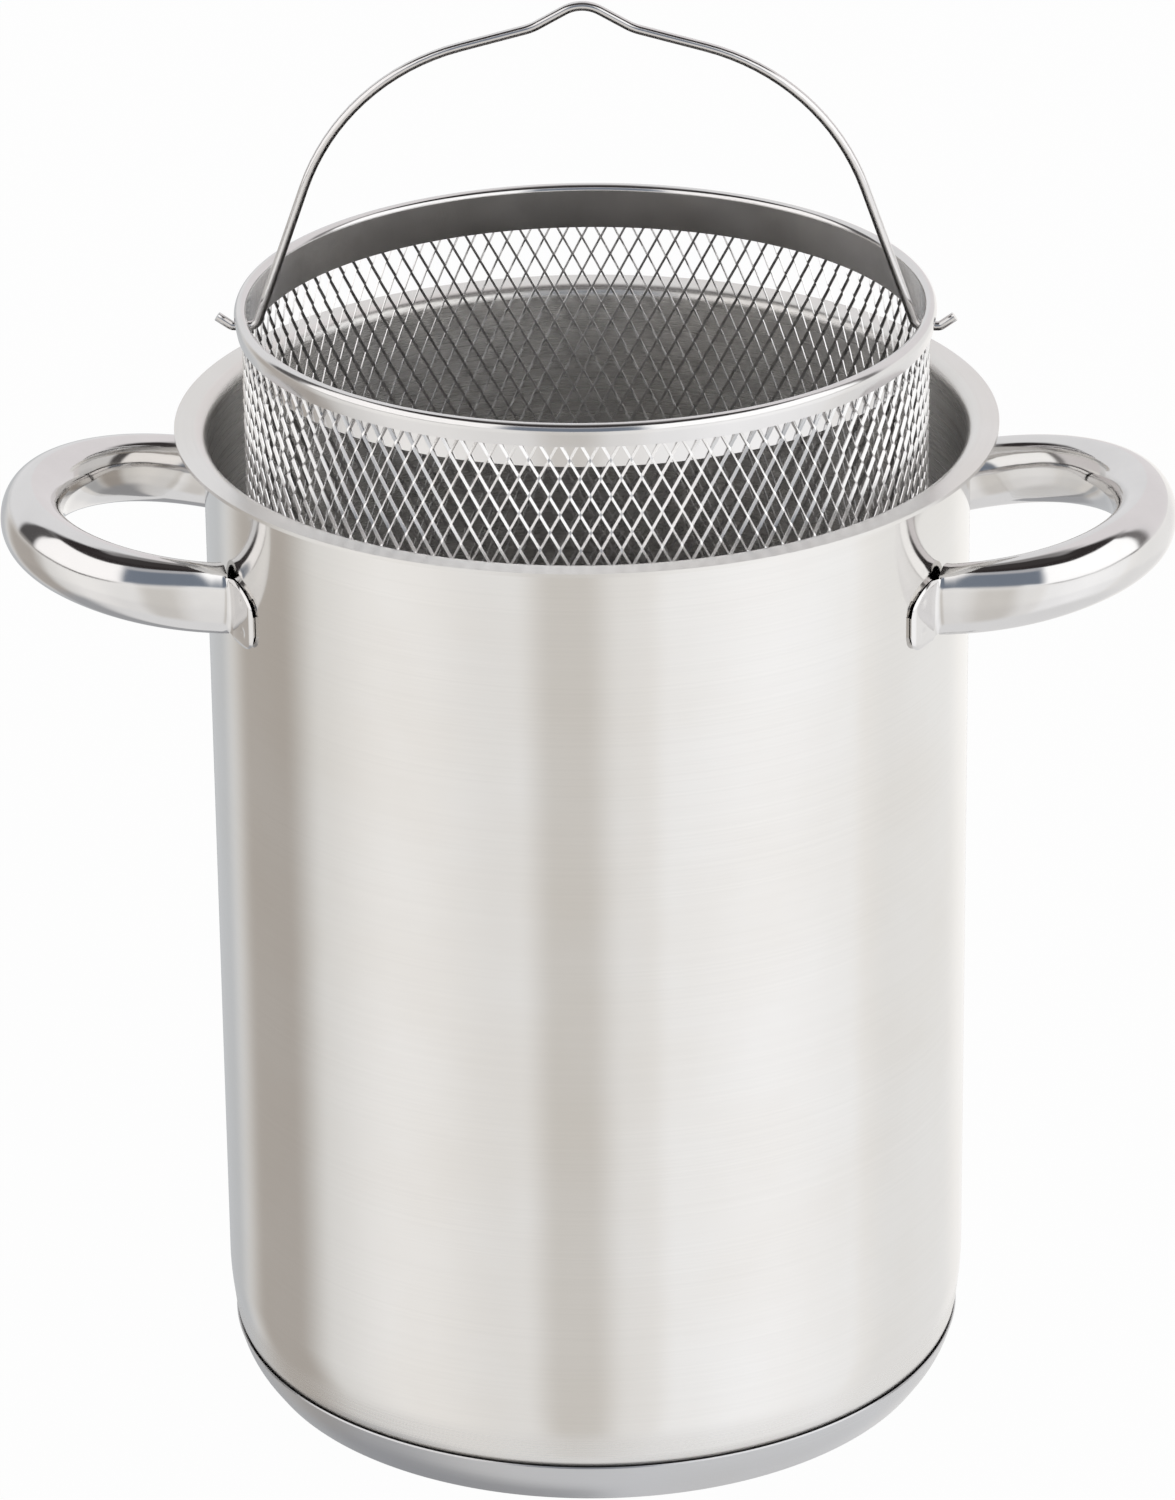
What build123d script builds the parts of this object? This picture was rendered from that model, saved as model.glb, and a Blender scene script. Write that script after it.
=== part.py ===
from build123d import *
from math import acos, cos, degrees, hypot, pi, radians, sin
import os

# Tall pasta pot with a lift-out strainer basket. The origin is the centre of the pot's underside
# and +Z points up. The two side handles lie on the X axis and the basket's bail swings about X.

# Pot shell: one drawn sheet with a flared lip, necked in a little above its base.
pot_radius = 80.0
pot_wall = 0.8
rim_height = 216.3
lip_reach = 5.9
lip_rise = 0.12
lip_corner_radius = 1.9
neck_height = 21.5
neck_depth = 1.8
neck_radius = 60.0
heel_radius = 8.0

# Sandwich base: an aluminium disc between the shell and a pressed steel cap. Each inset is how
# much further in the cap stands at its rim, its knee and its foot.
cap_wall = 0.5
core_thickness = 5.5
cap_rim_inset = 1.0
cap_rim_height = 10.4
cap_knee_inset = 1.6
cap_knee_height = 5.0
cap_foot_inset = 3.5
cap_foot_round = 1.2
cap_knee_round = 18.0
core_foot_gap = 1.1
core_knee_gap = 2.0

# Side handles: a hollow tube bent in a tilted loop. Its two arms are pressed flat outside and cut
# off square, and a tongue of the flat side goes on to the wall and bends along it as a welded tab.
handle_drop = 26.5
handle_tilt = 8.6
loop_radius = 34.3
loop_offset = 3.7
loop_half_angle = 100.0
arm_run = 3.0
arm_wall_gap = 0.3
tube_width = 11.2
tube_height = 15.0
tube_wall = 1.0
flat_inset = 2.0
tab_height = 13.6
tab_length = 8.6
tab_corner_radius = 3.0
tab_drop = 1.6
weld_radius = 1.3
weld_depth = 0.3
weld_spacing = 7.0

# Basket: expanded steel sheet, a rolled rim over a wire and a folded foot ring.
basket_lift_gap = 0.3
basket_side_gap = 7.77
basket_rise = 25.0
rim_wire_radius = 0.8
wire_clearance = 0.1
band_sheet = 0.4
band_depth = 8.3
skirt_depth = 3.4
skirt_turn_angle = 60.0
mesh_sheet = 0.5
mesh_clearance = 0.03
mesh_columns = 20
mesh_rows = 10
mesh_strand = 1.8
mesh_margin = 1.0
foot_ring_height = 8.6
foot_flange_width = 5.5
foot_round = 1.0

# Bail: one bent wire whose two ends pass out through the rim band.
bail_wire_radius = 1.0
pivot_drop = 4.8
pin_clearance = 0.1
pin_mesh_clearance = 0.3
foot_inset = 1.95
tip_bend_gap = 0.75
tip_length = 3.6
tip_angle = 35.0
bail_foot_radius = 2.0
bail_tip_radius = 1.5
shoulder_half_width = 49.3
shoulder_height = 54.0
shoulder_radius = 48.0
brow_half_width = 10.3
brow_height = 64.6
brow_radius = 12.0
peak_height = 70.4
peak_radius = 7.4

# One overrun lets every cut pass clear of the faces it opens.
overrun = 2.0

os.makedirs("parts", exist_ok=True)


# Pot shell, turned from its outer skin: floor, heel, neck, wall and lip.
floor_underside = cap_wall + core_thickness
floor_top = floor_underside + pot_wall
lip_underside = rim_height - pot_wall - lip_rise

with BuildPart() as pot_body:
    with BuildSketch(Plane.XZ):
        with BuildLine():
            FilletPolyline(
                (0, floor_underside),
                (pot_radius - neck_depth, floor_underside),
                (pot_radius, neck_height),
                (pot_radius, lip_underside),
                (pot_radius + lip_reach, lip_underside + lip_rise),
                radius=[heel_radius, neck_radius, lip_corner_radius],
            )
            offset(amount=pot_wall, side=Side.LEFT)
        make_face()
    revolve()

pot_body.part.label = "pot_body"
export_step(pot_body.part, "parts/pot_body.step")


# Aluminium disc, its flank tapered like the cap around it.
cap_rim_radius = pot_radius - cap_rim_inset
cap_knee_radius = cap_rim_radius - cap_knee_inset
cap_foot_radius = cap_knee_radius - cap_foot_inset

with BuildPart() as base_core:
    with BuildSketch(Plane.XZ):
        with BuildLine():
            Polyline(
                (0, cap_wall),
                (cap_foot_radius - core_foot_gap, cap_wall),
                (cap_knee_radius - core_knee_gap, floor_underside),
                (0, floor_underside),
                close=True,
            )
        make_face()
    revolve()

base_core.part.label = "base_core"
export_step(base_core.part, "parts/base_core.step")


# Pressed cap that closes the base and carries the pot on its flat underside.
with BuildPart() as base_cap:
    with BuildSketch(Plane.XZ):
        with BuildLine():
            FilletPolyline(
                (0, 0),
                (cap_foot_radius, 0),
                (cap_knee_radius, cap_knee_height),
                (cap_rim_radius, cap_rim_height),
                radius=[cap_foot_round, cap_knee_round],
            )
            offset(amount=cap_wall, side=Side.LEFT)
        make_face()
    revolve()

base_cap.part.label = "base_cap"
export_step(base_cap.part, "parts/base_cap.step")


# Handle: the loop lies in a plane that rises away from the pot. One half is made, from the middle
# of the loop to the tab on the wall, and mirrored.
handle_height = rim_height - handle_drop
tab_centre_height = handle_height - tab_drop
tab_middle_radius = pot_radius + tube_wall / 2
tilt = radians(handle_tilt)
loop_plane = Plane(
    origin=(pot_radius, 0, handle_height),
    x_dir=(cos(tilt), 0, sin(tilt)),
    z_dir=(-sin(tilt), 0, cos(tilt)),
)
arm_turn = radians(loop_half_angle)
arm_outward = Vector(cos(arm_turn), sin(arm_turn), 0)
arm_inward = Vector(-sin(arm_turn), cos(arm_turn), 0)
flat_distance = loop_radius + tube_width / 2 - flat_inset
arm_start = loop_plane.from_local_coords((loop_offset, 0)) + arm_outward * flat_distance
tongue_start = arm_start + arm_inward * arm_run - arm_outward * tube_wall / 2
crease_angle = loop_half_angle - degrees(acos(tongue_start.dot(arm_outward) / tab_middle_radius))
tab_angle = degrees(tab_length / tab_middle_radius)


def radial_plane(radius, angle, height):
    """Plane that touches a cylinder about Z at an angle round it, with its normal outwards."""
    turn = radians(angle)
    return Plane(
        origin=(radius * cos(turn), radius * sin(turn), height),
        x_dir=(-sin(turn), cos(turn), 0),
        z_dir=(cos(turn), sin(turn), 0),
    )


def half_tube(depth, arm_length):
    """Solid half of the loop with one straight arm, its skin at a depth under the tube's own."""
    with BuildPart() as tube:
        with BuildLine(loop_plane):
            loop = CenterArc((loop_offset, 0), loop_radius, 0, loop_half_angle)
            Line(loop @ 1, loop @ 1 + loop % 1 * arm_length)
        with BuildSketch(Plane(origin=loop @ 0, x_dir=loop_plane.z_dir, z_dir=loop % 0)):
            Ellipse(tube_height / 2 - depth, tube_width / 2 - depth)
        sweep()
        split(bisect_by=Plane(arm_start - arm_outward * depth, z_dir=arm_outward), keep=Keep.BOTTOM)
    return tube.part


tube_outside = half_tube(0, arm_run + tube_height)
tube_bore = half_tube(tube_wall, arm_run + tube_height)

with BuildPart() as handle_right:
    add(tube_outside)
    split(bisect_by=Plane(tongue_start, z_dir=arm_inward), keep=Keep.BOTTOM)
    add(tube_bore, mode=Mode.SUBTRACT)
    with BuildSketch(Plane.XY.offset(handle_height - tube_height)):
        Circle(pot_radius + arm_wall_gap)
    extrude(amount=2 * tube_height, mode=Mode.SUBTRACT)

    with BuildSketch(Plane.XY.offset(tab_centre_height - tab_height / 2)):
        with BuildLine():
            along_wall = CenterArc((0, 0), tab_middle_radius, crease_angle, tab_angle)
            Line((tongue_start.X, tongue_start.Y), along_wall @ 0)
        trace(line_width=tube_wall)
    extrude(amount=tab_height)
    tab_end = handle_right.edges().filter_by(Axis.Z, reverse=True).sort_by(Axis.X)[:2]
    fillet(tab_end, radius=tab_corner_radius)

    weld_angle = crease_angle + tab_angle / 2
    with BuildSketch(radial_plane(pot_radius + tube_wall - weld_depth, weld_angle, tab_centre_height)):
        with GridLocations(0, weld_spacing, 1, 2):
            Circle(weld_radius)
    extrude(amount=weld_depth + overrun, mode=Mode.SUBTRACT)
    mirror(about=Plane.XZ)

handle_right.part.label = "handle_right"
export_step(handle_right.part, "parts/handle_right.step")

with BuildPart() as handle_left:
    mirror(handle_right.part, about=Plane.YZ)

handle_left.part.label = "handle_left"
export_step(handle_left.part, "parts/handle_left.step")


# Rolled rim of the basket: the inner band, a bead turned over the rim wire, and the outer skirt
# that grips the mesh against the band. The path is the middle of the sheet.
bead_ring_radius = pot_radius - pot_wall - basket_side_gap
bead_height = rim_height + basket_rise
pivot_height = bead_height - pivot_drop
bead_middle = rim_wire_radius + wire_clearance + band_sheet / 2
band_radius = bead_ring_radius - bead_middle
band_outside = band_radius + band_sheet / 2
half_turn = pi / (2 * mesh_columns)
mesh_inside = (band_outside + mesh_clearance) / cos(half_turn)
mesh_outside = mesh_inside + mesh_sheet
skirt_radius = mesh_outside + mesh_clearance + band_sheet / 2
pin_hole_radius = bail_wire_radius + pin_clearance

with BuildPart() as basket_rim_band:
    with BuildSketch(Plane.XZ):
        with BuildLine():
            roll = CenterArc(
                (bead_ring_radius, bead_height), bead_middle, 180, -(180 + skirt_turn_angle)
            )
            Line((band_radius, bead_height - band_depth), roll @ 0)
            skirt = Line(
                (skirt_radius, bead_height), (skirt_radius, bead_height - skirt_depth), mode=Mode.PRIVATE
            )
            turn_in = IntersectingLine(roll @ 1, roll % 1, skirt)
            Line(turn_in @ 1, skirt @ 1)
        trace(line_width=band_sheet)
    revolve()
    with BuildSketch(Plane.YZ):
        with Locations((0, pivot_height)):
            Circle(pin_hole_radius)
    extrude(amount=bead_ring_radius + overrun, both=True, mode=Mode.SUBTRACT)

basket_rim_band.part.label = "basket_rim_band"
export_step(basket_rim_band.part, "parts/basket_rim_band.step")

with BuildPart() as basket_rim_wire:
    with BuildSketch(Plane.XZ):
        with Locations((bead_ring_radius, bead_height)):
            Circle(rim_wire_radius)
    revolve()

basket_rim_wire.part.label = "basket_rim_wire"
export_step(basket_rim_wire.part, "parts/basket_rim_wire.step")


# Foot ring, folded up round the bottom of the mesh wall. The basket stands on its flat underside.
basket_bottom = floor_top + basket_lift_gap
flange_top = basket_bottom + band_sheet

with BuildPart() as basket_foot_ring:
    with BuildSketch(Plane.XZ):
        with BuildLine():
            FilletPolyline(
                (skirt_radius - foot_flange_width, basket_bottom + band_sheet / 2),
                (skirt_radius, basket_bottom + band_sheet / 2),
                (skirt_radius, basket_bottom + foot_ring_height),
                radius=foot_round,
            )
        trace(line_width=band_sheet)
    revolve()

basket_foot_ring.part.label = "basket_foot_ring"
export_step(basket_foot_ring.part, "parts/basket_foot_ring.step")


# Expanded sheet: staggered rows of diamond openings. Round the wall each strand is straight
# from knuckle to knuckle, so the wall is a many-sided tube with a corner at every knuckle.
wall_bottom = flange_top + mesh_clearance + foot_round
wall_top = bead_height - wire_clearance - rim_wire_radius - band_sheet
opening_bottom = basket_bottom + foot_ring_height + mesh_margin
opening_top = bead_height - band_depth - mesh_margin
cell_half_width = mesh_outside * sin(half_turn)
cell_half_height = (opening_top - opening_bottom) / (mesh_rows + 1)
strand_offset = cell_half_width * cell_half_height / hypot(cell_half_width, cell_half_height)
opening_share = 1 - mesh_strand / 2 / strand_offset
diamond = [
    (cell_half_width * opening_share, 0),
    (0, cell_half_height * opening_share),
    (-cell_half_width * opening_share, 0),
    (0, -cell_half_height * opening_share),
]
column_angle = 360 / mesh_columns
cut_start_radius = mesh_inside - overrun
cut_depth = mesh_outside + overrun - cut_start_radius

with BuildPart() as basket_wall:
    with BuildSketch(Plane.XY.offset(wall_bottom)):
        RegularPolygon(mesh_outside, 2 * mesh_columns)
        RegularPolygon(mesh_inside, 2 * mesh_columns, mode=Mode.SUBTRACT)
    extrude(amount=wall_top - wall_bottom)
    opening_planes = [
        radial_plane(
            cut_start_radius,
            (column + row % 2 / 2) * column_angle,
            opening_bottom + (row + 1) * cell_half_height,
        )
        for row in range(mesh_rows)
        for column in range(mesh_columns)
    ]
    with BuildSketch(*opening_planes):
        Polygon(diamond, align=None)
    extrude(amount=cut_depth, mode=Mode.SUBTRACT)
    with BuildSketch(Plane.YZ):
        with Locations((0, pivot_height)):
            Circle(bail_wire_radius + pin_mesh_clearance)
    extrude(amount=mesh_outside + overrun, both=True, mode=Mode.SUBTRACT)

basket_wall.part.label = "basket_wall"
export_step(basket_wall.part, "parts/basket_wall.step")

floor_radius = (mesh_inside - mesh_clearance) * cos(half_turn)
floor_opening_radius = skirt_radius - foot_flange_width - mesh_margin
floor_rows = int(floor_opening_radius / cell_half_height)
floor_columns = int(floor_opening_radius / cell_half_width)
floor_centres = [
    (column * cell_half_width, row * cell_half_height)
    for row in range(-floor_rows, floor_rows + 1)
    for column in range(-floor_columns, floor_columns + 1)
    if (row + column) % 2 == 0
    and hypot((abs(column) + 1) * cell_half_width, row * cell_half_height) < floor_opening_radius
    and hypot(column * cell_half_width, (abs(row) + 1) * cell_half_height) < floor_opening_radius
]

with BuildPart() as basket_floor:
    with BuildSketch(Plane.XY.offset(flange_top + mesh_clearance)):
        Circle(floor_radius)
        with Locations(*floor_centres):
            Polygon(diamond, align=None, mode=Mode.SUBTRACT)
    extrude(amount=mesh_sheet)

basket_floor.part.label = "basket_floor"
export_step(basket_floor.part, "parts/basket_floor.step")


# Bail wire: bent-up tip, pivot through the band, straight leg, shoulder, brow and rounded peak.
foot_reach = band_radius - foot_inset
tip_bend_reach = bead_ring_radius + bead_middle + band_sheet / 2 + tip_bend_gap
half_bail = [
    (
        tip_bend_reach + tip_length * cos(radians(tip_angle)),
        pivot_height + tip_length * sin(radians(tip_angle)),
    ),
    (tip_bend_reach, pivot_height),
    (foot_reach, pivot_height),
    (shoulder_half_width, pivot_height + shoulder_height),
    (brow_half_width, pivot_height + brow_height),
]
peak = (0, pivot_height + peak_height)
other_half = [(-across, up) for across, up in reversed(half_bail)]
half_radii = [bail_tip_radius, bail_foot_radius, shoulder_radius, brow_radius]

with BuildPart() as bail:
    with BuildLine(Plane.XZ):
        wire_path = FilletPolyline(
            *half_bail, peak, *other_half, radius=[*half_radii, peak_radius, *reversed(half_radii)]
        )
    with BuildSketch(Plane(origin=wire_path @ 0, z_dir=wire_path % 0)):
        Circle(bail_wire_radius)
    sweep(path=wire_path)

bail.part.label = "bail"
export_step(bail.part, "parts/bail.step")
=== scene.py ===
from math import atan2, cos, hypot, pi, radians, sin, tan

import bpy
from mathutils import Euler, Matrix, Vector


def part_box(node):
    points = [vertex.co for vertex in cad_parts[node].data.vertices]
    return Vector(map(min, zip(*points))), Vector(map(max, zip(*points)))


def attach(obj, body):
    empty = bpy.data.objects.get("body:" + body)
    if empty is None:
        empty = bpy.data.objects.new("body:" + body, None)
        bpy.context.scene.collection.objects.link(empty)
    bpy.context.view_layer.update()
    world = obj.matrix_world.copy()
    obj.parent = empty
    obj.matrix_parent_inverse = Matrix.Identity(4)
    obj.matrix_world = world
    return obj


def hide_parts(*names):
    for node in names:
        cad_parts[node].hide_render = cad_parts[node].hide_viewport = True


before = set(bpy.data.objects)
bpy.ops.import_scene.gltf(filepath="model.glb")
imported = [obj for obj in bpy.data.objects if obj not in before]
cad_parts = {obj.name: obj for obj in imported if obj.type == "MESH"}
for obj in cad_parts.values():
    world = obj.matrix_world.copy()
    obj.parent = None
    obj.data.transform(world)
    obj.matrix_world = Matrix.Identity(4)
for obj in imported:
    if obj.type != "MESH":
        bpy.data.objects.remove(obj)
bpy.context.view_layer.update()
bpy.ops.object.select_all(action="DESELECT")
MM = 0.001


# Camera. The pot stands free and is seen from a little above, from its front and slightly from
# its right side. The lens is a long one, and the picture is turned by less than a degree.
camera_place = Vector((45.7, -1396.2, 759.0)) * MM
camera_aim = Vector((-0.6, 0, 140.3)) * MM
camera_roll = radians(-0.65)
camera_lens = 172.4
bpy.ops.object.camera_add(location=camera_place)
camera = bpy.context.object
look = (camera_aim - camera_place).to_track_quat("-Z", "Y")
camera.rotation_euler = (look @ Euler((0, 0, camera_roll)).to_quaternion()).to_euler()
camera.data.lens = camera_lens
camera.data.sensor_fit = "AUTO"
camera.data.clip_start = 0.05
bpy.context.scene.camera = camera
bpy.context.scene.view_settings.view_transform = "Standard"


# Studio. A pale table runs to a white backdrop. Polished steel sees two white panels in front with
# an opening for the camera between them, a dark gap above and beside them, and a pale back wall.
def node(tree, kind, inputs=None, **settings):
    """One shader node with its settings, and its inputs set to values or linked to outputs."""
    made = tree.nodes.new(kind)
    for name, value in settings.items():
        setattr(made, name, value)
    for name, value in (inputs or {}).items():
        if isinstance(value, bpy.types.NodeSocket):
            tree.links.new(value, made.inputs[name])
        else:
            made.inputs[name].default_value = value
    return made


def ramp(tree, value, stops, interpolation="EASE"):
    """Colour ramp over a value, with stops given as (place, colour or grey level)."""
    made = node(tree, "ShaderNodeValToRGB", {"Fac": value})
    made.color_ramp.interpolation = interpolation
    places = made.color_ramp.elements
    while len(places) < len(stops):
        places.new(0.5)
    for place, (position, colour) in zip(places, stops):
        place.position = position
        place.color = (*colour, 1) if isinstance(colour, tuple) else (colour, colour, colour, 1)
    return made.outputs["Color"]


def maths(tree, operation, first, second=0.0, third=0.0):
    """Output of one Math node."""
    made = node(tree, "ShaderNodeMath", {0: first, 1: second, 2: third}, operation=operation)
    return made.outputs[0]


def blend_colours(tree, share, first, second, mode="MIX"):
    """Output of a Mix node that blends two colours by a share."""
    made = node(tree, "ShaderNodeMix", data_type="RGBA", blend_type=mode)
    for name, value in (("Factor", share), ("A", first), ("B", second)):
        socket = [s for s in made.inputs if s.name == name and s.enabled][0]
        if isinstance(value, bpy.types.NodeSocket):
            tree.links.new(value, socket)
        else:
            socket.default_value = (*value, 1) if isinstance(value, tuple) else value
    return [s for s in made.outputs if s.enabled][0]


world = bpy.data.worlds.new("studio")
bpy.context.scene.world = world
world.use_nodes = True
tree = world.node_tree
tree.nodes.clear()
direction = node(tree, "ShaderNodeTexCoord").outputs["Generated"]
across = node(tree, "ShaderNodeSeparateXYZ", {"Vector": direction})
right, back, up = (across.outputs[axis] for axis in "XYZ")
front = maths(tree, "MULTIPLY", back, -1)
azimuth = maths(tree, "MULTIPLY", maths(tree, "ARCTAN2", right, front), 180 / pi)
elevation = maths(tree, "MULTIPLY", maths(tree, "ARCSINE", up), 180 / pi)


def band(tree, value, low, high, soft):
    """Share that is 1 between two limits and fades to 0 across each of them."""
    rising = node(tree, "ShaderNodeMapRange", {
        "Value": value, "From Min": low - soft, "From Max": low + soft,
    }, interpolation_type="SMOOTHSTEP")
    falling = node(tree, "ShaderNodeMapRange", {
        "Value": value, "From Min": high - soft, "From Max": high + soft,
        "To Min": 1.0, "To Max": 0.0,
    }, interpolation_type="SMOOTHSTEP")
    return maths(tree, "MULTIPLY", rising.outputs[0], falling.outputs[0])


# Each panel: its name, its two limits in azimuth and their softness, its two limits in elevation
# and their softness, in degrees, and its colour. A later panel lies over the ones before it.
back_wall_colour = (0.70, 0.69, 0.70)
table_far_elevation, table_near_elevation = -24.0, -29.0
table_near_colour = (0.935, 0.935, 0.94)
studio_panels = [
    ("left wall", -200, -112, 14, -5, 75, 10, (0.84, 0.84, 0.85)),
    ("right wall", 108, 200, 14, -5, 75, 10, (0.84, 0.81, 0.82)),
    ("ceiling", -200, 200, 1, 72, 100, 8, (0.26, 0.25, 0.25)),
    ("gap over the panels", -118, 112, 10, 45, 74, 4, (0.035, 0.03, 0.03)),
    ("gap over the camera", -75, 70, 20, 60, 86, 3, (0.05, 0.045, 0.045)),
    ("gap on the left", -118, -99, 3, -14, 48, 8, (0.10, 0.095, 0.095)),
    ("gap on the right", 97, 109, 4, -10, 48, 8, (0.20, 0.19, 0.19)),
    ("left panel", -99, -18, 3, 0, 46, 2, (1.20, 1.18, 1.17)),
    ("right panel", 8, 98, 3, 0, 46, 2, (1.30, 1.30, 1.30)),
    ("camera opening", -26, 21, 4, 2, 46, 3, (0.20, 0.23, 0.28)),
    ("camera opening top", -26, 21, 6, 37, 46, 4, (0.50, 0.50, 0.52)),
    ("table", -200, 200, 1, -95, -1, 1, (1.015, 1.0, 0.98)),
    ("table edge left", -100, -30, 6, -1.6, 1.0, 0.8, (0.10, 0.09, 0.085)),
    ("table edge right", 26, 100, 6, -1.6, 1.0, 0.8, (0.10, 0.09, 0.085)),
    ("table left fade", -145, -80, 20, -80, -1, 8, (0.80, 0.79, 0.77)),
    ("table far left", -210, -140, 10, -80, -1, 8, (0.57, 0.583, 0.597)),
    ("table left", -134, -97, 9, -75, -1, 8, (0.49, 0.455, 0.42)),
    ("table centre fade", -40, 22, 14, -80, -1, 8, (0.93, 0.92, 0.905)),
    ("table centre", -15, 6, 6, -80, -1, 8, (0.735, 0.71, 0.675)),
    ("table right", 23, 92, 4, -80, -1, 8, (1.05, 1.05, 1.05)),
    ("table right middle", 40, 76, 18, -80, -1, 8, (1.13, 1.13, 1.135)),
    ("table far right", 98, 150, 9, -80, -1, 8, (0.94, 0.935, 0.925)),
    ("table under left", -205, -62, 34, -95, -46, 6, (0.42, 0.425, 0.44)),
    ("table under", -62, 205, 34, -95, -46, 6, (0.88, 0.88, 0.88)),
]
studio = back_wall_colour
for name, left, right_end, side_soft, low, high, height_soft, colour in studio_panels:
    across_share = band(tree, azimuth, left, right_end, side_soft)
    height_share = band(tree, elevation, low, high, height_soft)
    panel_share = maths(tree, "MULTIPLY", across_share, height_share)
    studio = blend_colours(tree, panel_share, studio, colour)
nearness = node(tree, "ShaderNodeMapRange", {
    "Value": elevation, "From Min": table_far_elevation, "From Max": table_near_elevation,
}).outputs[0]
studio = blend_colours(tree, nearness, studio, table_near_colour, "MULTIPLY")
seen = node(tree, "ShaderNodeLightPath").outputs["Is Camera Ray"]
shown = blend_colours(tree, seen, studio, (1.0, 1.0, 1.0))
shining = node(tree, "ShaderNodeBackground", {"Color": shown, "Strength": 1.0})
node(tree, "ShaderNodeOutputWorld", {"Surface": shining.outputs[0]})

floor_half_width = 3.0
floor_whiteness = 0.97
bpy.ops.mesh.primitive_plane_add(size=2 * floor_half_width, location=(0, 0, 0))
floor = bpy.context.object
floor.name = "studio_floor"
floor.visible_glossy = False
floor_paint = bpy.data.materials.new("pale_table")
floor_paint.use_nodes = True
tree = floor_paint.node_tree
tree.nodes.clear()
lit = node(tree, "ShaderNodeBsdfDiffuse", {"Color": (0.92, 0.92, 0.92, 1), "Roughness": 0.5})
white = node(tree, "ShaderNodeEmission", {"Color": (1, 1, 1, 1), "Strength": 1.0})
path = node(tree, "ShaderNodeLightPath")
shown = maths(tree, "MULTIPLY", path.outputs["Is Camera Ray"], floor_whiteness)
mixed = node(tree, "ShaderNodeMixShader", {0: shown, 1: lit.outputs[0], 2: white.outputs[0]})
node(tree, "ShaderNodeOutputMaterial", {"Surface": mixed.outputs[0]})
floor.data.materials.append(floor_paint)


# Pot shell. One sheet of stainless steel, deep drawn, necked in over the base and rolled out to
# a pouring lip. It is brushed round and round inside, and its outer wall is buffed smooth.
shell_wall = 0.8 * MM
shell_radius = 80.0 * MM
shell_low, shell_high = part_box("pot_body")
lip_reach = shell_high.x - shell_radius
lip_corner_radius = 1.9 * MM
neck_height = 21.5 * MM
neck_depth = 1.8 * MM
neck_radius = 60.0 * MM
heel_radius = 8.0 * MM
axis_radius = 1.0 * MM
round_segments = 256
round_smoothing = radians(35)


def rounded(points, radii, steps=8):
    """Outline through points in a plane, with each inner corner replaced by an arc."""
    line = [Vector(points[0])]
    for before, corner, after, radius in zip(points, points[1:], points[2:], radii):
        corner = Vector(corner)
        to_last = (Vector(before) - corner).normalized()
        to_next = (Vector(after) - corner).normalized()
        half_angle = to_last.angle(to_next) / 2
        middle = corner + (to_last + to_next).normalized() * (radius / sin(half_angle))
        start = corner + to_last * (radius / tan(half_angle)) - middle
        end = corner + to_next * (radius / tan(half_angle)) - middle
        sweep = start.angle(end)
        for step in range(steps + 1):
            share = step / steps
            spoke = (start * sin((1 - share) * sweep) + end * sin(share * sweep)) / sin(sweep)
            line.append(middle + spoke)
    line.append(Vector(points[-1]))
    return line


def beside(line, distance):
    """The same outline moved sideways to its left by a distance, as the far face of a sheet."""
    moved = []
    for index, point in enumerate(line):
        before = line[max(index - 1, 0)]
        after = line[min(index + 1, len(line) - 1)]
        along = (after - before).normalized()
        moved.append(point + Vector((-along.y, along.x)) * distance)
    return moved


def turned(name, outline, closed=True):
    """Round piece: a circle is extruded into a ring for each point of (radius, height)."""
    first = outline[0]
    bpy.ops.mesh.primitive_circle_add(
        vertices=round_segments, radius=first.x, fill_type="NOTHING", location=(0, 0, first.y)
    )
    made = bpy.context.object
    made.name = made.data.name = name
    bpy.ops.object.transform_apply(location=True)
    bpy.ops.object.mode_set(mode="EDIT")
    bpy.ops.mesh.select_all(action="SELECT")
    for before, point in zip(outline, outline[1:]):
        scale = point.x / before.x
        step_up = (0, 0, point.y - before.y)
        bpy.ops.mesh.extrude_region_move(TRANSFORM_OT_translate={"value": step_up})
        bpy.ops.transform.resize(value=(scale, scale, 1))
    bpy.ops.mesh.select_all(action="SELECT")
    if closed:
        bpy.ops.mesh.remove_doubles(threshold=1e-6)
    else:
        bpy.ops.mesh.fill_holes(sides=0)
    bpy.ops.mesh.select_all(action="SELECT")
    bpy.ops.mesh.normals_make_consistent(inside=False)
    bpy.ops.object.mode_set(mode="OBJECT")
    return made


def both_faces(line, sheet):
    """Closed outline of a strip from its middle line and its thickness."""
    left, right_face = beside(line, sheet / 2), beside(line, -sheet / 2)
    return left + right_face[::-1] + [left[0]]


def face_outwards():
    """Points every face of the current object outwards."""
    bpy.ops.object.mode_set(mode="EDIT")
    bpy.ops.mesh.select_all(action="SELECT")
    bpy.ops.mesh.normals_make_consistent(inside=False)
    bpy.ops.object.mode_set(mode="OBJECT")


shell_outside = rounded(
    [
        (axis_radius, shell_low.z),
        (shell_radius - neck_depth, shell_low.z),
        (shell_radius, neck_height),
        (shell_radius, shell_high.z - shell_wall),
        (shell_radius + lip_reach, shell_high.z - shell_wall),
    ],
    [heel_radius, neck_radius, lip_corner_radius],
)
shell_inside = beside(shell_outside, shell_wall)
shell_inside[0].x = axis_radius
pot_shell = turned("pot_shell", shell_outside + shell_inside[::-1], closed=False)
bpy.ops.object.shade_smooth_by_angle(angle=round_smoothing)


ring_density = 3600.0
ring_length = 0.6
cloud_density = 26.0
brush_depth = 0.10


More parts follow.
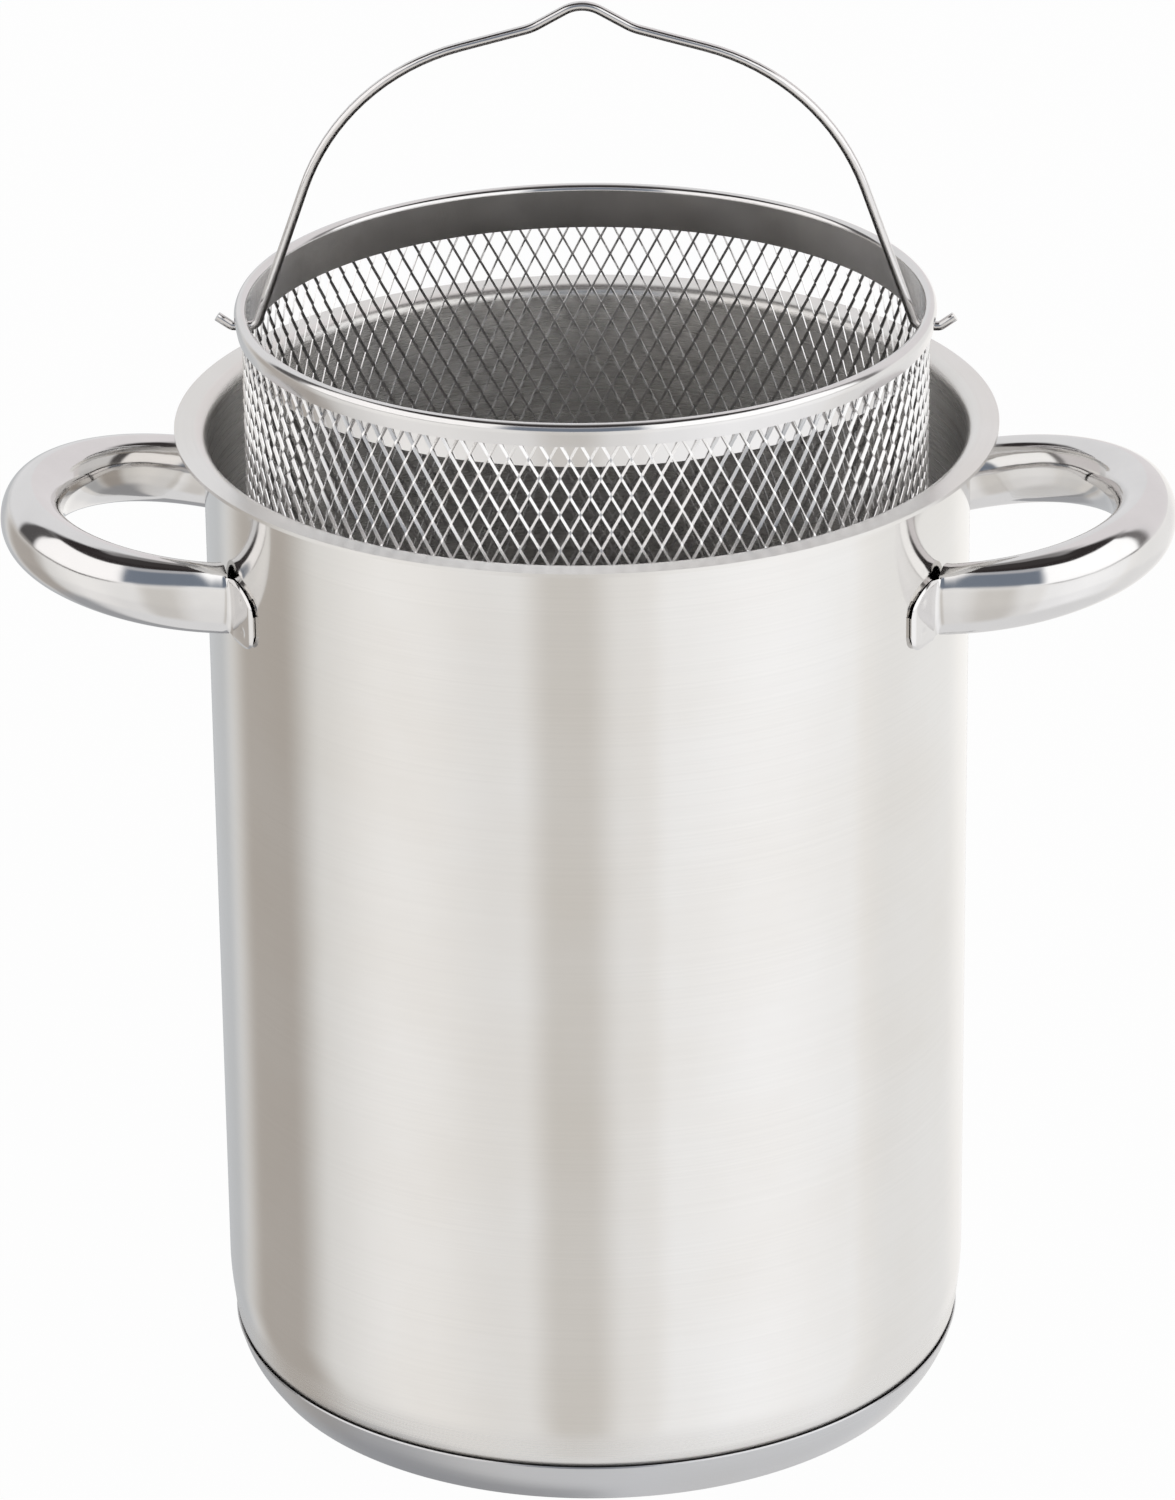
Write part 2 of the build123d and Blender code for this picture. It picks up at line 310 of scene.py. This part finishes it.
def brushed(name, colour, roughness, anisotropy, streaks, outside=None):
    """Stainless steel brushed round the pot's axis: fine rings vary its roughness and height.

    Outside a radius and under a height it is buffed smooth, to the roughness given with them.
    """
    metal = bpy.data.materials.new(name)
    metal.use_nodes = True
    tree = metal.node_tree
    shader = tree.nodes["Principled BSDF"]
    shader.inputs["Metallic"].default_value = 1.0
    shader.inputs["Anisotropic"].default_value = anisotropy
    shader.inputs["Anisotropic Rotation"].default_value = 0.25
    place = node(tree, "ShaderNodeTexCoord").outputs["Object"]
    parts = node(tree, "ShaderNodeSeparateXYZ", {"Vector": place})
    x, y, z = (parts.outputs[axis] for axis in "XYZ")
    x_squared, y_squared = (maths(tree, "MULTIPLY", part, part) for part in (x, y))
    radius = maths(tree, "SQRT", maths(tree, "ADD", x_squared, y_squared))
    angle = maths(tree, "ARCTAN2", y, x)
    wrapped = node(tree, "ShaderNodeCombineXYZ", {
        "X": maths(tree, "MULTIPLY", maths(tree, "COSINE", angle), ring_length),
        "Y": maths(tree, "MULTIPLY", maths(tree, "SINE", angle), ring_length),
        "Z": maths(tree, "MULTIPLY", maths(tree, "ADD", z, radius), ring_density),
    })
    grain = node(tree, "ShaderNodeTexNoise", {
        "Vector": wrapped.outputs[0], "Scale": 1.0, "Detail": 3.0, "Roughness": 0.6,
    }).outputs["Fac"]
    cloud = node(tree, "ShaderNodeTexNoise", {
        "Vector": place, "Scale": cloud_density, "Detail": 3.0, "Roughness": 0.5,
    }).outputs["Fac"]
    shade = ramp(tree, grain, [
        (0.25, tuple(c * (1 - streaks) for c in colour)), (0.75, colour),
    ], "LINEAR")
    tint = ramp(tree, cloud, [(0.35, (0.965, 0.955, 0.94)), (0.65, (1.0, 1.0, 1.0))], "LINEAR")
    tree.links.new(blend_colours(tree, 1.0, shade, tint, "MULTIPLY"), shader.inputs["Base Color"])
    rough = node(tree, "ShaderNodeMapRange", {
        "Value": grain, "From Min": 0.25, "From Max": 0.75,
        "To Min": roughness * 0.9, "To Max": roughness * 1.15,
    }).outputs[0]
    depth = brush_depth
    if outside:
        buffed_radius, buffed_height, buffed_roughness = outside
        past_wall = node(tree, "ShaderNodeMapRange", {
            "Value": radius, "From Min": buffed_radius - shell_wall / 2, "From Max": buffed_radius,
        }).outputs[0]
        under_lip = node(tree, "ShaderNodeMapRange", {
            "Value": z, "From Min": buffed_height + shell_wall, "From Max": buffed_height,
        }).outputs[0]
        buffed = maths(tree, "MULTIPLY", past_wall, under_lip)
        for share, smoother in ((past_wall, roughness), (buffed, buffed_roughness)):
            rough = node(tree, "ShaderNodeMapRange", {
                "Value": share, "To Min": rough, "To Max": smoother,
            }).outputs[0]
        depth = maths(tree, "MULTIPLY", maths(tree, "SUBTRACT", 1.0, past_wall), depth)
    tree.links.new(rough, shader.inputs["Roughness"])
    tangent = node(tree, "ShaderNodeTangent", direction_type="RADIAL", axis="Z")
    tree.links.new(tangent.outputs[0], shader.inputs["Tangent"])
    bump = node(tree, "ShaderNodeBump", {"Height": grain, "Strength": depth, "Distance": 0.0002})
    tree.links.new(bump.outputs[0], shader.inputs["Normal"])
    return metal


body_steel = brushed(
    "body_steel", (0.84, 0.83, 0.815), 0.27, 0.5, 0.03,
    outside=(shell_radius - shell_wall / 4, shell_high.z - 3 * shell_wall, 0.10),
)
pot_shell.data.materials.append(body_steel)
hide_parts("pot_body")
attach(pot_shell, "pot")


# Sandwich base. A thin steel cap is pressed over an aluminium disc and pinched against the shell
# all round, which leaves a dark seam above its bright edge. Its flank has a satin finish.
cap_wall = 0.5 * MM
cap_foot_radius = 73.9 * MM
cap_knee = (77.4 * MM, 5.0 * MM)
cap_rim = (79.0 * MM, 10.1 * MM)
cap_edge = (78.8 * MM, 10.4 * MM)
cap_radii = [1.2 * MM, 18.0 * MM, 0.1 * MM]
cap_outside = rounded(
    [(axis_radius, 0), (cap_foot_radius, 0), cap_knee, cap_rim, cap_edge], cap_radii
)
cap_inside = beside(cap_outside, cap_wall)
base_cap = turned("pressed_base_cap", cap_outside + cap_inside[::-1], closed=False)
bpy.ops.object.shade_smooth_by_angle(angle=round_smoothing)
cap_steel = brushed("cap_steel", (0.66, 0.665, 0.68), 0.30, 0.5, 0.03)
base_cap.data.materials.append(cap_steel)
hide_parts("base_cap")
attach(base_cap, "pot")

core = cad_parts["base_core"]
core_metal = brushed("core_aluminium", (0.62, 0.62, 0.63), 0.45, 0.2, 0.05)
core.data.materials.clear()
core.data.materials.append(core_metal)


# Side handles. Each is a steel tube bent in a loop, polished bright, with its ends pinched flat
# and turned along the wall as tabs that two spot welds hold.
haze_density = 90.0
ripple_density = 160.0
ripple_depth = 0.05


def polished(name, colour, roughness, smear):
    """Bright stainless steel with faint polishing haze and hairline scratches."""
    metal = bpy.data.materials.new(name)
    metal.use_nodes = True
    tree = metal.node_tree
    shader = tree.nodes["Principled BSDF"]
    shader.inputs["Metallic"].default_value = 1.0
    place = node(tree, "ShaderNodeTexCoord").outputs["Object"]
    haze = node(tree, "ShaderNodeTexNoise", {
        "Vector": place, "Scale": haze_density, "Detail": 4.0, "Roughness": 0.6,
    }).outputs["Fac"]
    shade = ramp(tree, haze, [(0.3, tuple(c * 0.95 for c in colour)), (0.7, colour)], "LINEAR")
    tree.links.new(shade, shader.inputs["Base Color"])
    tree.links.new(node(tree, "ShaderNodeMapRange", {
        "Value": haze, "From Min": 0.3, "From Max": 0.7,
        "To Min": roughness, "To Max": roughness + smear,
    }).outputs[0], shader.inputs["Roughness"])
    ripple = node(tree, "ShaderNodeTexNoise", {
        "Vector": place, "Scale": ripple_density, "Detail": 1.0,
    }).outputs["Fac"]
    bump = node(tree, "ShaderNodeBump", {
        "Height": ripple, "Strength": ripple_depth, "Distance": 0.001,
    })
    tree.links.new(bump.outputs[0], shader.inputs["Normal"])
    return metal


handle_height = 189.8 * MM
handle_tilt = radians(8.6)
loop_radius = 34.3 * MM
loop_offset = 3.7 * MM
loop_half_angle = radians(100.0)
tube_width = 11.2 * MM
tube_height = 15.0 * MM
tube_wall = 1.0 * MM
flat_half_width = 3.6 * MM
crease_angle = radians(27.7)
tab_end_angle = radians(33.4)
tab_gap = 0.12 * MM
tab_height = 14.4 * MM
tab_centre_height = handle_height - 1.6 * MM
tab_corner_radius = 3.4 * MM
fold_share = 0.035
arm_run = 1.4 * MM
bend_swell = 2.0 * MM
tab_shoulder = 6.0 * MM
tab_edge_width = 1.0 * MM
tab_edge_depth = 0.5 * MM
weld_radius = 1.4 * MM
weld_depth = 0.28 * MM
weld_spacing = 7.0 * MM
loop_end_share = 0.62
crease_share = 0.74
flat_start_share = 0.55
bend_end_share = 0.7
square_above = 0.1
square_below = 0.8
tongue_start = 0.42
tongue_soft = 0.2
tongue_height_share = 0.4
tab_spread = 1.25
half_stations = 100
around_steps = 96
sheet_smoothing = radians(40)
polished_steel = polished("polished_steel", (0.80, 0.79, 0.785), 0.06, 0.05)
tilt_out = Vector((cos(handle_tilt), 0, sin(handle_tilt)))
tilt_up = Vector((-sin(handle_tilt), 0, cos(handle_tilt)))
loop_centre = Vector((shell_radius, 0, handle_height)) + tilt_out * loop_offset


def smooth(value):
    """Eased share between 0 and 1."""
    value = min(max(value, 0.0), 1.0)
    return value * value * (3 - 2 * value)


def tube_section(turn_share, flat_share, bend_share=0.0):
    """Across and up from the tube's middle: an oval, flattened outside towards the ends.

    The bend has pushed its inner side inwards.
    """
    across, rise = cos(2 * pi * turn_share), sin(2 * pi * turn_share)
    power = 2.0 + flat_share * (square_above if rise > 0 else square_below)
    size = (abs(across) ** power + abs(rise) ** power) ** (-1 / power)
    half_width = tube_width / 2
    if across > 0:
        half_width += (flat_half_width - half_width) * flat_share
    else:
        half_width += bend_swell * bend_share
    return across * size * half_width, rise * size * tube_height / 2


def handle_point(share, turn_share):
    """Point of the tube's skin by its share of the handle's length and of the turn round it."""
    side = 1 if share > 0 else -1
    reach = abs(share)
    turn = side * min(reach / loop_end_share, 1.0) * loop_half_angle
    outward = tilt_out * cos(turn) + Vector((0, 1, 0)) * sin(turn)
    flat_share = smooth((reach / loop_end_share - flat_start_share) / (1 - flat_start_share))
    bend_share = smooth(1 - reach / loop_end_share / bend_end_share)
    across, rise = tube_section(turn_share, flat_share, bend_share)
    point = loop_centre + outward * (loop_radius + across) + tilt_up * rise
    if reach <= loop_end_share:
        return point
    heading = (tilt_out * -sin(turn) + Vector((0, 1, 0)) * cos(turn)) * side
    tongue_share = smooth((across / flat_half_width - tongue_start) / tongue_soft)
    flat_point, flat_heading = Vector((point.x, point.y)), Vector((heading.x, heading.y))
    along = flat_point.dot(flat_heading)
    size = flat_heading.length_squared
    limit = shell_radius + tab_gap + tube_wall
    under_root = along ** 2 - size * (flat_point.length_squared - limit ** 2)
    to_wall = (-along - under_root ** 0.5) / size
    run = min((reach - loop_end_share) / (crease_share - loop_end_share), 1.0)
    point += heading * ((arm_run + (to_wall - arm_run) * tongue_share) * run)
    if reach <= crease_share:
        return point
    tab_share = (reach - crease_share) / (1 - crease_share)
    tab_length = (tab_end_angle - crease_angle) * shell_radius
    along = tab_share * tab_length
    if rise > 0:
        limit = tab_height / 2 - tab_shoulder * (1 - max(1 - tab_share ** 2, 0) ** 0.5)
    else:
        corner = max(along - (tab_length - tab_corner_radius), 0.0)
        corner_rise = max(tab_corner_radius ** 2 - corner ** 2, 0) ** 0.5
        limit = tab_height / 2 - tab_corner_radius + corner_rise
    start_rise = point.z - tab_centre_height
    spread = rise / tube_height * 2
    goal = max(min(spread * tab_spread, 1.0), -1.0) * limit
    height = start_rise + (goal - start_rise) * smooth(tab_share * 3)
    start_angle = atan2(point.y * side, point.x)
    angle = start_angle + (tab_end_angle - start_angle) * tab_share
    from_weld = hypot(
        (angle - (crease_angle + tab_end_angle) / 2) * shell_radius, abs(height) - weld_spacing / 2
    )
    dimple = weld_depth * smooth(1 - from_weld / weld_radius)
    from_edge = min(limit - abs(height), tab_length - along)
    edge = tab_edge_depth * smooth(tab_share * 6) * smooth(1 - from_edge / tab_edge_width)
    radius = shell_radius + tab_gap + tube_wall - max(dimple, edge)
    return Vector((radius * cos(angle), side * radius * sin(angle), tab_centre_height + height))


def on_tongue(turn_share):
    """Whether a line along the tube lies on its flat outer side, which runs on as the tab."""
    across, rise = tube_section(turn_share, 1.0)
    return across > 0 and abs(rise) <= tongue_height_share * tube_height


def folded_point(share, turn_share):
    """The same point with the crease between the tube's flat side and the tab eased to a curve."""
    crease = crease_share if share > 0 else -crease_share
    offset = abs(share) - crease_share
    if abs(offset) >= fold_share or not on_tongue(turn_share):
        return handle_point(share, turn_share)
    step = (offset + fold_share) / (2 * fold_share)
    before, corner, after = (
        handle_point(crease * (1 + shift / crease_share), turn_share)
        for shift in (-fold_share, 0, fold_share)
    )
    return before * (1 - step) ** 2 + corner * (2 * step * (1 - step)) + after * step ** 2


def select_points(made, wanted):
    """Selects in edit mode only the points that a test picks by their place."""
    bpy.ops.object.mode_set(mode="EDIT")
    bpy.ops.mesh.select_mode(type="VERT")
    bpy.ops.mesh.select_all(action="DESELECT")
    bpy.ops.object.mode_set(mode="OBJECT")
    for vertex in made.data.vertices:
        vertex.select = wanted(vertex.co)
    bpy.ops.object.mode_set(mode="EDIT")


def is_spare(place):
    """Whether a point of the flat grid lies past the crease and off the tube's outer side."""
    return abs(place.x) > crease_share + 0.5 / half_stations and not on_tongue(place.y / 2 + 1)


def rolled_handle(name):
    """The tube rolled from a flat grid; past the crease only its outer side is kept, as a tab."""
    bpy.ops.mesh.primitive_grid_add(
        x_subdivisions=2 * half_stations, y_subdivisions=around_steps, size=2
    )
    made = bpy.context.object
    made.name = made.data.name = name
    select_points(made, is_spare)
    bpy.ops.mesh.delete(type="VERT")
    bpy.ops.object.mode_set(mode="OBJECT")
    for vertex in made.data.vertices:
        vertex.co = folded_point(vertex.co.x, vertex.co.y / 2 + 1)
    bpy.ops.object.mode_set(mode="EDIT")
    bpy.ops.mesh.select_all(action="SELECT")
    bpy.ops.mesh.remove_doubles(threshold=1e-6)
    bpy.ops.mesh.normals_make_consistent(inside=False)
    bpy.ops.object.mode_set(mode="OBJECT")
    return made


# Near-black steel for the tube's inner faces: painted shade, standing in for the shade inside the
# tube where it shows at the open ends by the wall.
painted_shade_tube_inside = bpy.data.materials.new("painted_shade_tube_inside")
painted_shade_tube_inside.use_nodes = True
painted_shade_inside_shader = painted_shade_tube_inside.node_tree.nodes["Principled BSDF"]
painted_shade_inside_shader.inputs["Metallic"].default_value = 0.6
painted_shade_inside_shader.inputs["Base Color"].default_value = (0.03, 0.028, 0.026, 1)
painted_shade_inside_shader.inputs["Roughness"].default_value = 0.6

for name, node_name, across in (
    ("polished_handle_right", "handle_right", 1),
    ("polished_handle_left", "handle_left", -1),
):
    handle = rolled_handle(name)
    for vertex in handle.data.vertices:
        vertex.co.x *= across
    face_outwards()
    handle.data.materials.append(polished_steel)
    # The second material, on the sheet's inner faces, is the painted shade of the tube's inside.
    handle.data.materials.append(painted_shade_tube_inside)
    sheet = handle.modifiers.new("sheet", "SOLIDIFY")
    sheet.thickness = tube_wall
    sheet.offset = -1
    sheet.material_offset = 1
    bpy.ops.object.modifier_apply(modifier="sheet")
    for vertex in handle.data.vertices:
        from_axis = hypot(vertex.co.x, vertex.co.y)
        pushed_out = max((shell_radius + tab_gap) / from_axis, 1.0)
        vertex.co.x *= pushed_out
        vertex.co.y *= pushed_out
    bpy.ops.object.shade_smooth_by_angle(angle=sheet_smoothing)
    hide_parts(node_name)
    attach(handle, "pot")


# Basket rim. A strip of bright steel is rolled over a wire into a bead; its inner side runs down
# as a plain band, and its outer side hangs as a short skirt over the top of the expanded sheet.
rim_low, rim_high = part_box("basket_rim_band")
wire_low, wire_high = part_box("basket_rim_wire")
band_sheet = 0.4 * MM
bead_height = (wire_low.z + wire_high.z) / 2
rim_wire_radius = (wire_high.z - wire_low.z) / 2
bead_ring_radius = wire_high.x - rim_wire_radius
bead_middle = rim_high.z - bead_height - band_sheet / 2
band_radius = bead_ring_radius - bead_middle
mesh_sheet = 0.5 * MM
band_play = 0.15 * MM
skirt_play = 0.05 * MM
mesh_radius = band_radius + band_sheet / 2 + mesh_sheet / 2 + band_play
skirt_radius = mesh_radius + mesh_sheet / 2 + band_sheet / 2 + skirt_play
skirt_turn = radians(8)
bead_drop = 0.6 * MM
skirt_flare = 0.6 * MM
skirt_depth = 3.4 * MM
roll_steps = 24
roll = []
for step in range(roll_steps + 1):
    angle = pi - (pi + skirt_turn) * step / roll_steps
    drop = bead_drop if cos(angle) > 0 else 0.0
    roll.append(Vector((
        bead_ring_radius + bead_middle * cos(angle),
        bead_height - drop + (bead_middle + drop) * sin(angle),
    )))
band_end = Vector((band_radius, rim_low.z))
skirt_end = Vector((skirt_radius + skirt_flare, bead_height - skirt_depth))
rim_band = turned("rolled_rim", both_faces([band_end, *roll, skirt_end], band_sheet))
bpy.ops.object.shade_smooth_by_angle(angle=sheet_smoothing)
rim_steel = polished("rim_steel", (0.80, 0.79, 0.785), 0.10, 0.06)
rim_band.data.materials.append(rim_steel)
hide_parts("basket_rim_band")
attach(rim_band, "basket")
rim_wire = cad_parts["basket_rim_wire"]
rim_wire.data.materials.clear()
rim_wire.data.materials.append(rim_steel)


# Foot ring. A strip folded up round the bottom of the sheet, on which the basket stands.
ring_low, ring_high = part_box("basket_foot_ring")
foot_flange = 5.5 * MM
foot_fold_radius = 1.0 * MM
ring_radius = ring_high.x - band_sheet / 2
ring_line = rounded(
    [
        (ring_radius - foot_flange, ring_low.z + band_sheet / 2),
        (ring_radius, ring_low.z + band_sheet / 2),
        (ring_radius, ring_high.z),
    ],
    [foot_fold_radius],
)
foot_ring = turned("folded_foot_ring", both_faces(ring_line, band_sheet))
bpy.ops.object.shade_smooth_by_angle(angle=sheet_smoothing)
foot_ring.data.materials.append(rim_steel)
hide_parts("basket_foot_ring")
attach(foot_ring, "basket")


# Expanded sheet. Steel sheet is slit and pulled open into diamonds, so each strand is turned a
# little on its own length and each knuckle leans; it is rolled up and lapped into the wall.
mesh_columns = 109
mesh_pitch_up = 7.73 * MM
knuckle_half_width = 0.27 * MM
knuckle_half_height = 0.52 * MM
knuckle_lean = 0.32 * MM
top_knuckle_drop = 3.0 * MM
cut_margin = 0.12 * MM
strand_thickness = 0.27 * MM
lap_angle = radians(48)
joining_distance = 0.01 * MM
mesh_pitch = 2 * pi * mesh_radius / mesh_columns


def expanded_sheet(name, columns, rows, pitch, pitch_up):
    """Flat sheet of diamonds in the XZ plane, drawn from one knuckle and its two upper strands."""
    bpy.ops.mesh.primitive_circle_add(
        vertices=4, radius=1, fill_type="NGON", rotation=(pi / 2, 0, 0)
    )
    made = bpy.context.object
    made.name = made.data.name = name
    bpy.ops.object.transform_apply(rotation=True)
    for vertex in made.data.vertices:
        vertex.co = (
            vertex.co.x * knuckle_half_width,
            -vertex.co.z * knuckle_lean,
            vertex.co.z * knuckle_half_height,
        )
    for side in (1, -1):
        bpy.ops.object.mode_set(mode="EDIT")
        bpy.ops.mesh.select_mode(type="EDGE")
        bpy.ops.mesh.select_all(action="DESELECT")
        bpy.ops.object.mode_set(mode="OBJECT")
        for edge in made.data.edges:
            ends = [made.data.vertices[index].co for index in edge.vertices]
            middle = (ends[0] + ends[1]) / 2
            edge.select = (
                middle.z > 0 and middle.x * side > 0 and middle.length < knuckle_half_height
            )
        bpy.ops.object.mode_set(mode="EDIT")
        along_strand = (
            side * (pitch / 2 - knuckle_half_width),
            knuckle_lean,
            pitch_up / 2 - knuckle_half_height,
        )
        bpy.ops.mesh.extrude_region_move(TRANSFORM_OT_translate={"value": along_strand})
        bpy.ops.object.mode_set(mode="OBJECT")
    bpy.ops.object.mode_set(mode="EDIT")
    bpy.ops.mesh.select_all(action="SELECT")
    bpy.ops.mesh.duplicate_move(TRANSFORM_OT_translate={"value": (pitch / 2, 0, pitch_up / 2)})
    bpy.ops.object.mode_set(mode="OBJECT")
    for label, count, step in (
        ("columns", columns, (pitch, 0, 0)),
        ("rows", rows, (0, 0, pitch_up)),
    ):
        array = made.modifiers.new(label, "ARRAY")
        array.count = count
        array.use_relative_offset = False
        array.use_constant_offset = True
        array.constant_offset_displace = step
        bpy.ops.object.modifier_apply(modifier=label)
    bpy.ops.object.mode_set(mode="EDIT")
    bpy.ops.mesh.select_all(action="SELECT")
    bpy.ops.mesh.remove_doubles(threshold=joining_distance)
    bpy.ops.mesh.normals_make_consistent(inside=False)
    bpy.ops.object.mode_set(mode="OBJECT")
    return made


def thickened(made, thickness):
    """Gives a sheet its thickness, half to each side."""
    sheet = made.modifiers.new("sheet", "SOLIDIFY")
    sheet.thickness = thickness
    sheet.offset = 0
    bpy.ops.object.modifier_apply(modifier="sheet")
    face_outwards()


wall_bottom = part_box("basket_wall")[0].z
top_knuckle_height = bead_height - top_knuckle_drop
mesh_rows = int((top_knuckle_height - wall_bottom) / mesh_pitch_up + 0.5)
first_knuckle_height = top_knuckle_height - (mesh_rows - 0.5) * mesh_pitch_up
mesh_wall = expanded_sheet("expanded_wall", mesh_columns, mesh_rows, mesh_pitch, mesh_pitch_up)
for vertex in mesh_wall.data.vertices:
    angle = vertex.co.x / mesh_radius - lap_angle
    radius = mesh_radius + vertex.co.y
    vertex.co = (radius * cos(angle), radius * sin(angle), vertex.co.z + first_knuckle_height)
cut_height = top_knuckle_height + knuckle_half_height + cut_margin
select_points(mesh_wall, lambda place: place.z > cut_height)
bpy.ops.mesh.delete(type="VERT")
bpy.ops.mesh.select_all(action="SELECT")
bpy.ops.mesh.remove_doubles(threshold=joining_distance)
bpy.ops.object.mode_set(mode="OBJECT")
thickened(mesh_wall, strand_thickness)
mesh_steel = polished("mesh_steel", (0.97, 0.965, 0.96), 0.25, 0.05)
mesh_wall.data.materials.append(mesh_steel)
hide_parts("basket_wall")
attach(mesh_wall, "basket")

floor_low, floor_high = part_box("basket_floor")
floor_lean = 0.3
floor_edge = 0.5 * MM
floor_thickness = 0.3 * MM
floor_columns = int((floor_high.x - floor_low.x) / mesh_pitch) + 1
floor_rows = int((floor_high.y - floor_low.y) / mesh_pitch_up) + 1
mesh_floor = expanded_sheet(
    "expanded_floor", floor_columns, floor_rows, mesh_pitch, mesh_pitch_up
)
for vertex in mesh_floor.data.vertices:
    vertex.co = (
        vertex.co.x - mesh_pitch * floor_columns / 2,
        vertex.co.z - mesh_pitch_up * floor_rows / 2,
        (floor_low.z + floor_high.z) / 2 + vertex.co.y * floor_lean,
    )
select_points(mesh_floor, lambda place: hypot(place.x, place.y) > floor_high.x - floor_edge)
bpy.ops.mesh.delete(type="VERT")
bpy.ops.object.mode_set(mode="OBJECT")
thickened(mesh_floor, floor_thickness)
mesh_floor.data.materials.append(mesh_steel)
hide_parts("basket_floor")
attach(mesh_floor, "basket")


# Bail. One stainless wire is bent to a handle with a small peak; its ends turn in under the bead,
# pass out through the band and bend up.
pivot_height = bead_height - 4.8 * MM
bail_wire_radius = 1.0 * MM
foot_inset = 1.95 * MM
foot_reach = band_radius - foot_inset
tip_clearance = 0.75 * MM
tip_bend_reach = bead_ring_radius + bead_middle + band_sheet / 2 + tip_clearance
tip_length = 3.6 * MM
tip_slope = radians(35)
shoulder_reach, shoulder_rise = 49.3 * MM, 54.0 * MM
hump_reach, hump_rise = 10.3 * MM, 64.6 * MM
peak_rise = 70.4 * MM
peak_radius = 7.4 * MM
tip_reach = tip_bend_reach + tip_length * cos(tip_slope)
half_bail = [
    Vector((tip_reach, pivot_height + tip_length * sin(tip_slope))),
    Vector((tip_bend_reach, pivot_height)),
    Vector((foot_reach, pivot_height)),
    Vector((shoulder_reach, pivot_height + shoulder_rise)),
    Vector((hump_reach, pivot_height + hump_rise)),
]
peak = Vector((0, pivot_height + peak_rise))
half_radii = [1.5 * MM, 2.0 * MM, 48.0 * MM, 12.0 * MM]
other_half = [Vector((-point.x, point.y)) for point in reversed(half_bail)]
bail_radii = [*half_radii, peak_radius, *reversed(half_radii)]
wire_line = rounded([*half_bail, peak, *other_half], bail_radii, steps=16)
bpy.ops.curve.primitive_nurbs_path_add()
bail = bpy.context.object
bail.name = bail.data.name = "bail_wire"
bail.data.splines.clear()
spline = bail.data.splines.new("POLY")
spline.points.add(len(wire_line) - 1)
for point, place in zip(spline.points, wire_line):
    point.co = (place.x, 0, place.y, 1)
bail.data.bevel_depth = bail_wire_radius
bail.data.bevel_resolution = 5
bail.data.use_fill_caps = True
bpy.ops.object.convert(target="MESH")
bail = bpy.context.object
bpy.ops.object.shade_smooth_by_angle(angle=sheet_smoothing)
wire_steel = polished("wire_steel", (0.80, 0.785, 0.78), 0.12, 0.06)
bail.data.materials.append(wire_steel)
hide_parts("bail")
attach(bail, "bail")
